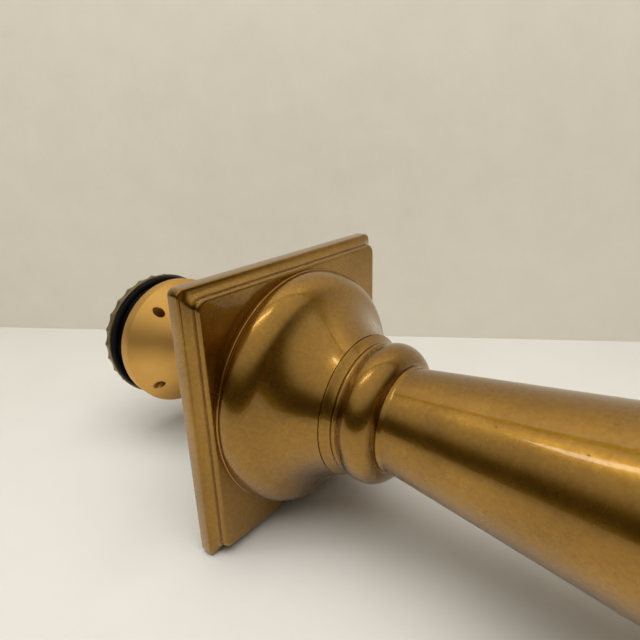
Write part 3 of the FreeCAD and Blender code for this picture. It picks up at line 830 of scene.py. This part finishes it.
lock_mesh = turned_mesh("lock_ring_scalloped", [
    (barrel_radius + THREAD_GAP, lock_low),
    (CREST - 0.5, lock_low),
    (CREST, lock_low + 0.5),
    (CREST, RIM_BACK - 0.5),
    (CREST - 0.5, RIM_BACK),
    (RIM_ROOT, RIM_BACK),
    (RIM_ROOT, RIM_BACK + 0.05),
    (front_rim, RIM_BACK + 0.05),
    (front_rim, lock_high - 0.3),
    (front_rim - 0.3, lock_high),
    (barrel_radius + THREAD_GAP, lock_high),
], edge=0.25, around=SCALLOPS * 14, shape=scalloped)
finish_piece("lock_ring_scalloped", lock_mesh, "lock_ring", ["lock_ring"], RING_BRASS, 35)

# %% [markdown]
# ## Small parts
# Screws, washers, pins and discs already have the right shape in the CAD model. They only need
# a finish, which goes into the material slot that each of them carries.

# %% Finish the parts that stay as they are
KEPT_FINISHES = {
    "deck_gasket": RUBBER,
    "neck_spool": TURNED_ALUMINIUM,
    "foot_disc": TURNED_ALUMINIUM,
    "top_disc": TURNED_ALUMINIUM,
    "retaining_ring": PLATED_STEEL,
    "top_washer": PLATED_STEEL,
    "top_nut": PLATED_STEEL,
    "flange_screws": PLATED_STEEL,
    "bell_screws": PLATED_STEEL,
    "dowels": PLATED_STEEL,
    "barrel_screws": PLATED_STEEL,
    "thrust_washer": PLATED_STEEL,
    "grub_screws": BLACK_OXIDE,
}
for node, finish in KEPT_FINISHES.items():
    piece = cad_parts[node]
    piece.data.materials.clear()
    piece.data.materials.append(finish)
print("kept parts with a finish:", len(KEPT_FINISHES))

# %% [markdown]
# ## Bench, wall and light
# The post rests on the lower edge of its base and on the rim of its head, so the bench top is the
# plane that touches both. The wall stands upright behind the post, turned a few degrees. Both
# only show from the front: from behind, a see-through shader lets the whole post be looked at.
# Polished brass shows whatever is around it, so the light matters as much as the metal. The room
# glows softly above and is dark at the horizon, which gives the pale and the deep brown bands.
# A fill light brightens the bench but is kept out of reflections, and a thin strip light draws
# the sharp streaks in the lacquer. The pale bench lights the undersides.

# %% Lay out the bench and the wall
BENCH_TOUCH = Vector((0, -plate_half, 0)) * MM
HEAD_TOUCH = Vector((0, -HEAD_RIM, rim_high - 4)) * MM
along_bench = (HEAD_TOUCH - BENCH_TOUCH).normalized()
bench_up = along_bench.cross(Vector((1, 0, 0))).normalized()
if bench_up.y < 0:
    bench_up.negate()
camera_forward = (camera_aim - camera_place).normalized()
to_wall = (camera_forward - bench_up * camera_forward.dot(bench_up)).normalized()
to_right = to_wall.cross(bench_up).normalized()
WALL_DISTANCE = 0.555
WALL_TURN = math.radians(5)
BENCH_DEPTH = 0.95
bench_point = BENCH_TOUCH - bench_up * 0.0002
wall_foot = camera_place + to_wall * WALL_DISTANCE
wall_foot -= bench_up * (wall_foot - bench_point).dot(bench_up)
along_wall = to_right * math.cos(WALL_TURN) - to_wall * math.sin(WALL_TURN)
into_room = along_wall.cross(bench_up)


def stage_finish(name, dark, light, scale, roughness, relief):
    """Pale matt surface that is only there from its front."""
    material, tree, shader = new_finish(name)
    where = places(tree)
    mottle = noise(tree, where, scale, 5.0, 0.6)
    link(tree, ramp(tree, mottle, [(0.3, dark), (0.7, light)]), shader.inputs["Base Color"])
    shader.inputs["Roughness"].default_value = roughness
    link(tree, bump(tree, mottle, relief, 0.5), shader.inputs["Normal"])
    clear = tree.nodes.new("ShaderNodeBsdfTransparent")
    facing = tree.nodes.new("ShaderNodeNewGeometry")
    choose = tree.nodes.new("ShaderNodeMixShader")
    link(tree, facing.outputs["Backfacing"], choose.inputs["Fac"])
    link(tree, shader.outputs["BSDF"], choose.inputs[1])
    link(tree, clear.outputs[0], choose.inputs[2])
    output = next(node for node in tree.nodes if node.type == "OUTPUT_MATERIAL")
    link(tree, choose.outputs[0], output.inputs["Surface"])
    return material


def stage_plane(name, centre, across, up, half_width, low, high, finish):
    """A flat sheet that spans across and up from a centre, facing across x up."""
    corners = [(-half_width, low), (half_width, low), (half_width, high), (-half_width, high)]
    mesh = bpy.data.meshes.new(name)
    points = [centre + across * x + up * y for x, y in corners]
    mesh.from_pydata([tuple(point) for point in points], [], [(0, 1, 2, 3)])
    mesh.materials.append(finish)
    sheet = bpy.data.objects.new(name, mesh)
    bpy.context.scene.collection.objects.link(sheet)
    return sheet


BENCH = stage_finish("bench_white", (0.475, 0.465, 0.440), (0.505, 0.495, 0.470), 8.0, 0.35, 0.0001)
WALL = stage_finish("wall_plaster", (0.635, 0.600, 0.515), (0.665, 0.630, 0.545), 26.0, 0.9, 0.0010)
bench = stage_plane("bench", wall_foot, -along_wall, into_room, 3.0, 0.0, BENCH_DEPTH, BENCH)
wall = stage_plane("wall", wall_foot, along_wall, bench_up, 3.0, 0.0, 2.2, WALL)
print("bench faces up:", bench.data.polygons[0].normal.dot(bench_up) > 0.99)
print("wall faces the room:", wall.data.polygons[0].normal.dot(into_room) > 0.99)

# %% Light the bench
# The Standard view keeps the bench white and the browns deep.
bpy.context.scene.view_settings.view_transform = "Standard"
world = bpy.data.worlds.new("room")
bpy.context.scene.world = world
world.use_nodes = True
sky = world.node_tree
background = next(node for node in sky.nodes if node.type == "BACKGROUND")
background.inputs["Strength"].default_value = 1.0
direction = sky.nodes.new("ShaderNodeTexCoord")
upward = sky.nodes.new("ShaderNodeVectorMath")
upward.operation = "DOT_PRODUCT"
upward.inputs[1].default_value = tuple(bench_up)
link(sky, direction.outputs["Generated"], upward.inputs[0])
room_glow = ramp(sky, upward.outputs["Value"], [
    (0.0, (0.05, 0.035, 0.02)),
    (0.30, (0.07, 0.05, 0.03)),
    (0.55, (0.70, 0.66, 0.58)),
    (1.0, (0.95, 0.91, 0.84)),
])
link(sky, room_glow, background.inputs["Color"])


def soft_light(name, place, size, watts, colour, in_reflections):
    """An area light that faces the foot of the post, with or without its own reflection."""
    lamp = bpy.data.lights.new(name, "AREA")
    lamp.shape = "RECTANGLE"
    lamp.size, lamp.size_y = size
    lamp.energy = watts
    lamp.color = colour
    lit = bpy.data.objects.new(name, lamp)
    lit.matrix_world = looking(place, Vector((0.0, 0.0, 0.06)), to_wall)
    lit.visible_glossy = in_reflections
    bpy.context.scene.collection.objects.link(lit)
    return lit


middle = Vector((0.0, 0.0, 0.06))
fill_place = middle + bench_up * 1.3 - to_wall * 0.25
strip_place = middle + bench_up * 0.95 - to_right * 0.35 - to_wall * 0.10
FILL_WATTS = 28.0
STRIP_WATTS = 0.8
soft_light("ceiling_fill", fill_place, (1.6, 1.2), FILL_WATTS, (1.0, 0.985, 0.96), False)
soft_light("ceiling_strip", strip_place, (0.50, 0.07), STRIP_WATTS, (1.0, 0.98, 0.95), True)
print("bench faces", bench_up, "and the wall is", WALL_DISTANCE, "m from the camera")
